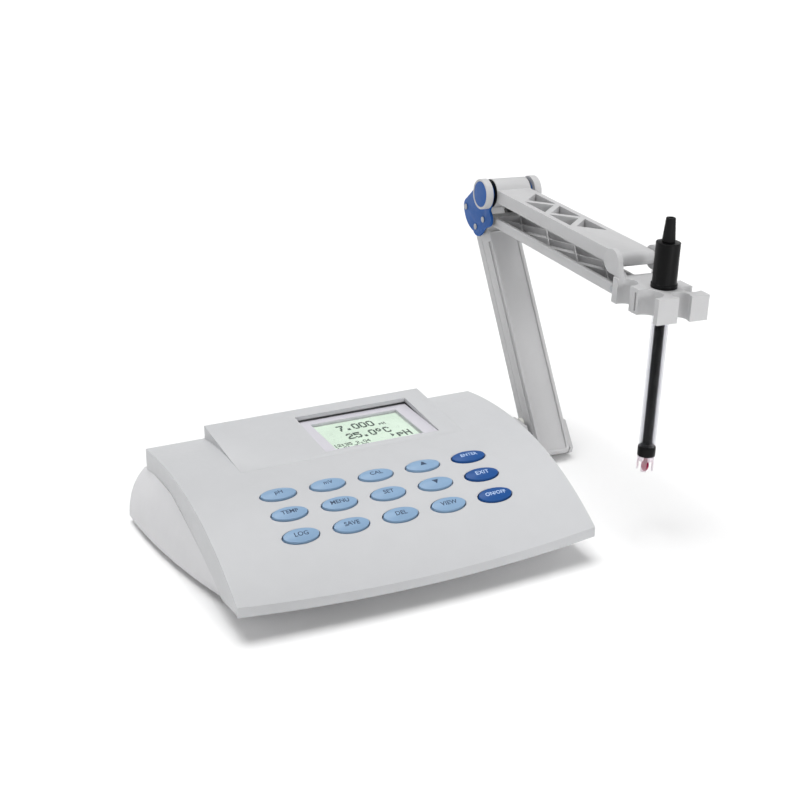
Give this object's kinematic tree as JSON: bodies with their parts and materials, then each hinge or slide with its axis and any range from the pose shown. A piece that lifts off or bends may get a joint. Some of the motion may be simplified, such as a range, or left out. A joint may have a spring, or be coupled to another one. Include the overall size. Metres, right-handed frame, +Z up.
{
  "type": "ph meter",
  "caption": "Bench pH meter: wedge housing with oval keys and a small display, and a swivelling parallelogram arm that holds a glass electrode upright.",
  "frame": {"origin": "on the bench surface, under the centre of the whole object's bounding box", "axes": "+Z up, +Y from the keys towards the rear panel, +X to the right where the arm stands"},
  "size_m": [0.3663, 0.297, 0.2298],
  "materials": {
    "cover_plastic": "fine satin grain",
    "housing_plastic": "fine satin grain",
    "key_light_blue": "semi-gloss",
    "key_dark_blue": "semi-gloss",
    "bezel_plastic": "satin",
    "clear_window": "clear",
    "lcd_glass": "smooth",
    "circuit_board": "solder mask",
    "silicone": "matte",
    "black_rubber": "matte",
    "zinc_steel": "zinc plated",
    "panel_plastic": "fine grain",
    "nickel": "plated",
    "black_plastic": "satin",
    "red_plastic": "satin",
    "brass": "plated",
    "arm_plastic": "satin moulded",
    "arm_blue": "semi-gloss",
    "white_nylon": "smooth",
    "electrode_glass": "clear",
    "electrode_core": "matte",
    "clear_guard": "clear",
    "pink_bulb": "clear"
  },
  "bodies": {
    "meter": {"top_cover": "cover_plastic", "lower_housing": "housing_plastic", "feet": "black_rubber", "housing_screws": "zinc_steel", "keypad_board": "circuit_board", "keypad_mat": "silicone", "display_bezel": "bezel_plastic", "display_window": "clear_window", "lcd_panel": "lcd_glass", "lcd_board": "circuit_board", "main_board": "circuit_board", "rear_panel": "panel_plastic", "electrode_socket": "nickel", "reference_socket": "black_plastic", "temperature_socket": "red_plastic", "ground_terminal": "brass", "power_socket": "black_plastic", "serial_socket": "nickel", "arm_bracket": "zinc_steel", "bracket_screws": "zinc_steel", "swivel_stud": "zinc_steel"},
    "fork": {"swivel_fork": "arm_plastic", "fork_pins": "zinc_steel", "fork_washers": "white_nylon"},
    "lower_arm": {"main_beam": "arm_plastic"},
    "rear_link": {"rear_link": "arm_plastic"},
    "elbow": {"elbow_plate_left": "arm_blue", "elbow_plate_right": "arm_blue", "elbow_pins": "zinc_steel", "elbow_washers": "white_nylon", "elbow_axle": "zinc_steel", "axle_caps": "arm_plastic", "cap_discs": "arm_blue", "axle_washers": "black_plastic"},
    "upper_arm": {"upper_beam": "arm_plastic"},
    "tie": {"tie_beam": "arm_plastic"},
    "holder": {"electrode_holder": "arm_plastic", "holder_pins": "zinc_steel"},
    "electrode": {"electrode_boot": "black_rubber", "electrode_cap": "black_plastic", "electrode_glass": "electrode_glass", "electrode_core": "electrode_core", "electrode_collar": "black_plastic", "electrode_guard": "clear_guard", "electrode_bulb": "pink_bulb"},
    "key_front_1": {"key_front_1": "key_light_blue"},
    "key_front_2": {"key_front_2": "key_light_blue"},
    "key_front_3": {"key_front_3": "key_light_blue"},
    "key_front_4": {"key_front_4": "key_light_blue"},
    "key_front_5": {"key_front_5": "key_dark_blue"},
    "key_middle_1": {"key_middle_1": "key_light_blue"},
    "key_middle_2": {"key_middle_2": "key_light_blue"},
    "key_middle_3": {"key_middle_3": "key_light_blue"},
    "key_middle_4": {"key_middle_4": "key_light_blue"},
    "key_middle_5": {"key_middle_5": "key_dark_blue"},
    "key_back_1": {"key_back_1": "key_light_blue"},
    "key_back_2": {"key_back_2": "key_light_blue"},
    "key_back_3": {"key_back_3": "key_light_blue"},
    "key_back_4": {"key_back_4": "key_light_blue"},
    "key_back_5": {"key_back_5": "key_dark_blue"}
  },
  "joints": [
    {"name": "arm_swivel", "type": "hinge", "parent": "meter", "child": "fork", "pos_m": [0.14935, 0.0364, 0.00601], "axis": [0.0436, 0, 0.999], "range_deg": [-12, 90]},
    {"name": "lower_lift", "type": "hinge", "parent": "fork", "child": "lower_arm", "pos_m": [0.14959, 0.02101, 0.01144], "axis": [0.999, 0, -0.0436], "range_deg": [0, 35]},
    {"name": "rear_link_lift", "type": "hinge", "parent": "fork", "child": "rear_link", "pos_m": [0.15012, 0.03921, 0.02363], "axis": [0.999, 0, -0.0436], "range_deg": [0, 35]},
    {"name": "elbow_level", "type": "hinge", "parent": "lower_arm", "child": "elbow", "pos_m": [0.15624, 0.1258, 0.16376], "axis": [0.999, 0, -0.0436], "range_deg": [-35, 0]},
    {"name": "upper_lift", "type": "hinge", "parent": "elbow", "child": "upper_arm", "pos_m": [0.15758, 0.1104, 0.19453], "axis": [0.999, 0, -0.0436], "range_deg": [-36, 13]},
    {"name": "tie_lift", "type": "hinge", "parent": "elbow", "child": "tie", "pos_m": [0.15662, 0.1142, 0.17245], "axis": [0.999, 0, -0.0436], "range_deg": [-36, 13]},
    {"name": "holder_level", "type": "hinge", "parent": "upper_arm", "child": "holder", "pos_m": [0.15741, -0.0741, 0.19054], "axis": [0.999, 0, -0.0436], "range_deg": [-13, 36]},
    {"name": "electrode_slide", "type": "slide", "parent": "holder", "child": "electrode", "axis": [0.0436, 0, 0.999], "range_m": [0, 0.098]},
    {"name": "key_front_1_press", "type": "slide", "parent": "meter", "child": "key_front_1", "axis": [0, 0.3781, -0.9258], "range_m": [0, 0.0012], "stiffness_N_per_m": 400, "springref_m": -0.001},
    {"name": "key_front_2_press", "type": "slide", "parent": "meter", "child": "key_front_2", "axis": [0, 0.3781, -0.9258], "range_m": [0, 0.0012], "stiffness_N_per_m": 400, "springref_m": -0.001},
    {"name": "key_front_3_press", "type": "slide", "parent": "meter", "child": "key_front_3", "axis": [0, 0.3781, -0.9258], "range_m": [0, 0.0012], "stiffness_N_per_m": 400, "springref_m": -0.001},
    {"name": "key_front_4_press", "type": "slide", "parent": "meter", "child": "key_front_4", "axis": [0, 0.3781, -0.9258], "range_m": [0, 0.0012], "stiffness_N_per_m": 400, "springref_m": -0.001},
    {"name": "key_front_5_press", "type": "slide", "parent": "meter", "child": "key_front_5", "axis": [0, 0.3781, -0.9258], "range_m": [0, 0.0012], "stiffness_N_per_m": 400, "springref_m": -0.001},
    {"name": "key_middle_1_press", "type": "slide", "parent": "meter", "child": "key_middle_1", "axis": [0, 0.2885, -0.9575], "range_m": [0, 0.0012], "stiffness_N_per_m": 400, "springref_m": -0.001},
    {"name": "key_middle_2_press", "type": "slide", "parent": "meter", "child": "key_middle_2", "axis": [0, 0.2885, -0.9575], "range_m": [0, 0.0012], "stiffness_N_per_m": 400, "springref_m": -0.001},
    {"name": "key_middle_3_press", "type": "slide", "parent": "meter", "child": "key_middle_3", "axis": [0, 0.2885, -0.9575], "range_m": [0, 0.0012], "stiffness_N_per_m": 400, "springref_m": -0.001},
    {"name": "key_middle_4_press", "type": "slide", "parent": "meter", "child": "key_middle_4", "axis": [0, 0.2885, -0.9575], "range_m": [0, 0.0012], "stiffness_N_per_m": 400, "springref_m": -0.001},
    {"name": "key_middle_5_press", "type": "slide", "parent": "meter", "child": "key_middle_5", "axis": [0, 0.2885, -0.9575], "range_m": [0, 0.0012], "stiffness_N_per_m": 400, "springref_m": -0.001},
    {"name": "key_back_1_press", "type": "slide", "parent": "meter", "child": "key_back_1", "axis": [0, 0.1966, -0.9805], "range_m": [0, 0.0012], "stiffness_N_per_m": 400, "springref_m": -0.001},
    {"name": "key_back_2_press", "type": "slide", "parent": "meter", "child": "key_back_2", "axis": [0, 0.1966, -0.9805], "range_m": [0, 0.0012], "stiffness_N_per_m": 400, "springref_m": -0.001},
    {"name": "key_back_3_press", "type": "slide", "parent": "meter", "child": "key_back_3", "axis": [0, 0.1966, -0.9805], "range_m": [0, 0.0012], "stiffness_N_per_m": 400, "springref_m": -0.001},
    {"name": "key_back_4_press", "type": "slide", "parent": "meter", "child": "key_back_4", "axis": [0, 0.1966, -0.9805], "range_m": [0, 0.0012], "stiffness_N_per_m": 400, "springref_m": -0.001},
    {"name": "key_back_5_press", "type": "slide", "parent": "meter", "child": "key_back_5", "axis": [0, 0.1966, -0.9805], "range_m": [0, 0.0012], "stiffness_N_per_m": 400, "springref_m": -0.001}
  ],
  "couplings": [
    {"joint": "rear_link_lift", "follows": "lower_lift", "ratio": 1},
    {"joint": "elbow_level", "follows": "lower_lift", "ratio": -1},
    {"joint": "tie_lift", "follows": "upper_lift", "ratio": 1},
    {"joint": "holder_level", "follows": "upper_lift", "ratio": -1}
  ]
}
